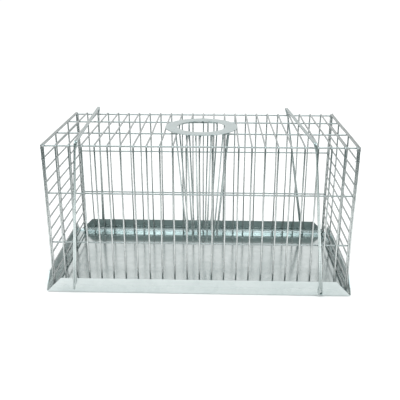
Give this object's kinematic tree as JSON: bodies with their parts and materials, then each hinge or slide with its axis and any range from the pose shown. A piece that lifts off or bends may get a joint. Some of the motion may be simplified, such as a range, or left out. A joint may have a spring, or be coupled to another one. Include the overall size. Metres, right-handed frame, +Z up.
{
  "type": "rat cage trap",
  "caption": "Live-catch rat cage trap: a welded wire cage on a shallow sheet metal tray, held down by two wire bails, with a ring entrance and a wire funnel in its roof.",
  "frame": {"origin": "on the ground under the middle of the tray", "axes": "+X along the trap to the right seen from the front, the front faces -Y, +Z up"},
  "size_m": [0.416, 0.2196, 0.2142],
  "materials": {
    "galvanised_sheet": "bright galvanised sheet steel",
    "galvanised_mesh": "welded steel mesh, zinc plated",
    "plated_ring": "galvanised flat ring, satin",
    "bright_wire": "zinc plated spring wire",
    "clip_wire": "dull soft steel wire"
  },
  "bodies": {
    "tray_body": {"tray": "galvanised_sheet"},
    "cage_body": {"front_mesh_wall": "galvanised_mesh", "back_mesh_wall": "galvanised_mesh", "left_roof_mesh": "galvanised_mesh", "right_roof_mesh": "galvanised_mesh", "front_roof_mesh": "galvanised_mesh", "back_roof_mesh": "galvanised_mesh", "left_end_panel": "galvanised_mesh", "right_end_panel": "galvanised_mesh", "entrance_ring": "plated_ring", "funnel_wire_front": "bright_wire", "funnel_wire_front_right": "bright_wire", "funnel_wire_right": "bright_wire", "funnel_wire_back_right": "bright_wire", "funnel_wire_back_left": "bright_wire", "funnel_wire_front_left": "bright_wire", "left_front_upper_clip": "clip_wire", "left_front_lower_clip": "clip_wire", "left_back_upper_clip": "clip_wire", "left_back_lower_clip": "clip_wire", "right_front_upper_clip": "clip_wire", "right_front_lower_clip": "clip_wire", "right_back_upper_clip": "clip_wire", "right_back_lower_clip": "clip_wire"},
    "left_bail_body": {"left_bail": "bright_wire"},
    "right_bail_body": {"right_bail": "bright_wire"}
  },
  "joints": [
    {"name": "cage_lift", "type": "slide", "parent": "tray_body", "child": "cage_body", "axis": [0, 0, 1], "range_m": [0, 0.004]},
    {"name": "left_bail_swing", "type": "hinge", "parent": "tray_body", "child": "left_bail_body", "pos_m": [-0.1693, 0, 0.006], "axis": [0, -1, 0], "range_deg": [0, 92]},
    {"name": "right_bail_swing", "type": "hinge", "parent": "tray_body", "child": "right_bail_body", "pos_m": [0.1682, 0, 0.006], "axis": [0, 1, 0], "range_deg": [0, 97]}
  ]
}
